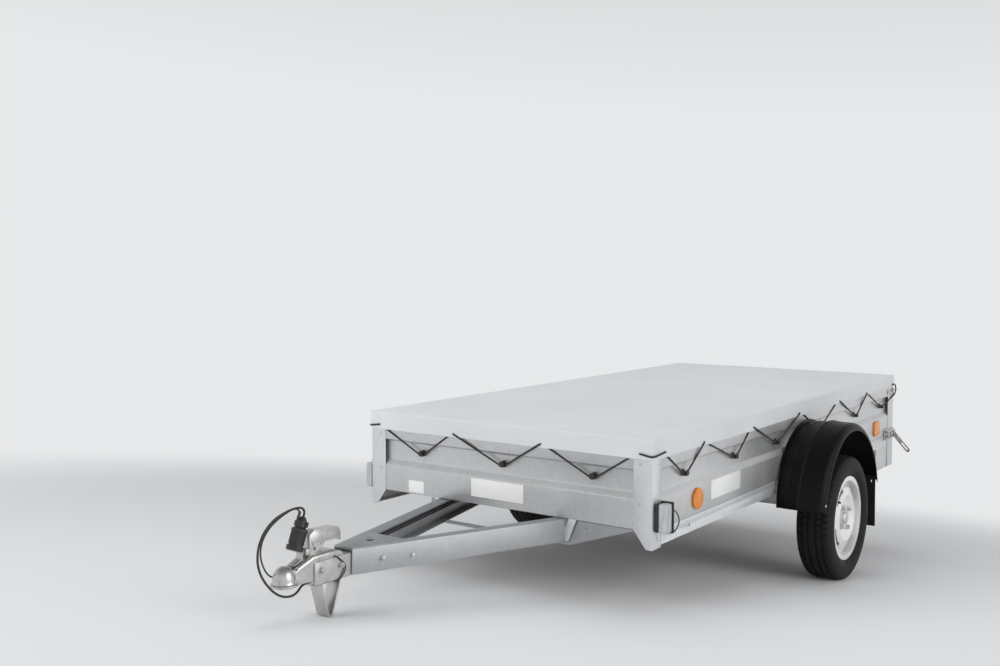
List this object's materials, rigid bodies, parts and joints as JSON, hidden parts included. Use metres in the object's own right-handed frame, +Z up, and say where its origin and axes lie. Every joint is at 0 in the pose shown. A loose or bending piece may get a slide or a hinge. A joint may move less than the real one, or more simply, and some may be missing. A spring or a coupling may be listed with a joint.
{
  "type": "utility trailer",
  "caption": "Single-axle flat-bed utility trailer with sheet-steel sides, a laced flat cover, a V-shaped drawbar and a hinged tailgate.",
  "frame": {"origin": "on the ground under the middle of the parked trailer", "axes": "+X to the trailer's right-hand side, +Y rearwards, +Z up; the trailer is tipped nose-down on its prop foot about the X axis"},
  "size_m": [1.697, 3.9531, 0.9401],
  "materials": {
    "amber_lens": "amber prism lens",
    "black_plastic": "black moulding",
    "cable_jacket": "black cable sheath",
    "flap_rubber": "matt black sheet",
    "floor_board": "film-faced brown plywood",
    "galvanised": "galvanised sheet, satin with fine spangle",
    "guard_plastic": "grained black moulding",
    "red_lens": "red lens",
    "rim_silver": "silver lacquer",
    "tarpaulin": "pale grey coated cloth",
    "tyre_rubber": "matt black tread rubber",
    "white_lens": "clear ribbed lens",
    "zinc_plate": "bright zinc plating"
  },
  "bodies": {
    "root": {"side_rail_left": "galvanised", "side_rail_right": "galvanised", "side_panel_left": "galvanised", "side_panel_right": "galvanised", "front_panel": "galvanised", "floor_board": "floor_board", "front_corner_posts": "galvanised", "rear_corner_posts": "galvanised", "drawbar_crossmember": "galvanised", "floor_crossmember_front": "galvanised", "floor_crossmember_rear": "galvanised", "rear_crossmember": "galvanised", "drawbar_beam_left": "galvanised", "drawbar_beam_right": "galvanised", "front_sill": "galvanised", "drawbar_gusset": "galvanised", "drawbar_head": "zinc_plate", "prop_foot": "zinc_plate", "coupling_body": "zinc_plate", "coupling_handle": "zinc_plate", "plug": "black_plastic", "plug_holder": "zinc_plate", "power_cable": "cable_jacket", "safety_cable": "cable_jacket", "drawbar_cables": "cable_jacket", "axle_beam": "galvanised", "axle_brackets": "galvanised", "swing_arm_left": "galvanised", "swing_arm_right": "galvanised", "mudguard_left": "guard_plastic", "mudguard_right": "guard_plastic", "mudflaps": "flap_rubber", "tailgate_hinges": "zinc_plate", "cover": "tarpaulin", "rear_lamp_board": "galvanised", "rear_side_plates": "galvanised", "rear_lamps": "red_lens", "marker_lamps": "white_lens", "marker_lamp_bases": "black_plastic", "side_reflectors": "amber_lens", "tailgate_latches": "zinc_plate", "lacing_knobs": "black_plastic"},
    "wheel_left": {"hub_left": "galvanised", "rim_left": "rim_silver", "tyre_left": "tyre_rubber"},
    "wheel_right": {"hub_right": "galvanised", "rim_right": "rim_silver", "tyre_right": "tyre_rubber"},
    "tailgate": {"tailgate": "galvanised", "tailgate_knobs": "black_plastic"}
  },
  "joints": [
    {"name": "wheel_left_spin", "type": "hinge", "parent": "root", "child": "wheel_left", "pos_m": [-0.764, 0.60934, 0.27], "axis": [1, 0, 0], "continuous": true},
    {"name": "wheel_right_spin", "type": "hinge", "parent": "root", "child": "wheel_right", "pos_m": [0.764, 0.60934, 0.27], "axis": [1, 0, 0], "continuous": true},
    {"name": "tailgate_hinge", "type": "hinge", "parent": "root", "child": "tailgate", "pos_m": [0, 1.8332, 0.84874], "axis": [1, 0, 0], "range_deg": [0, 90]}
  ]
}
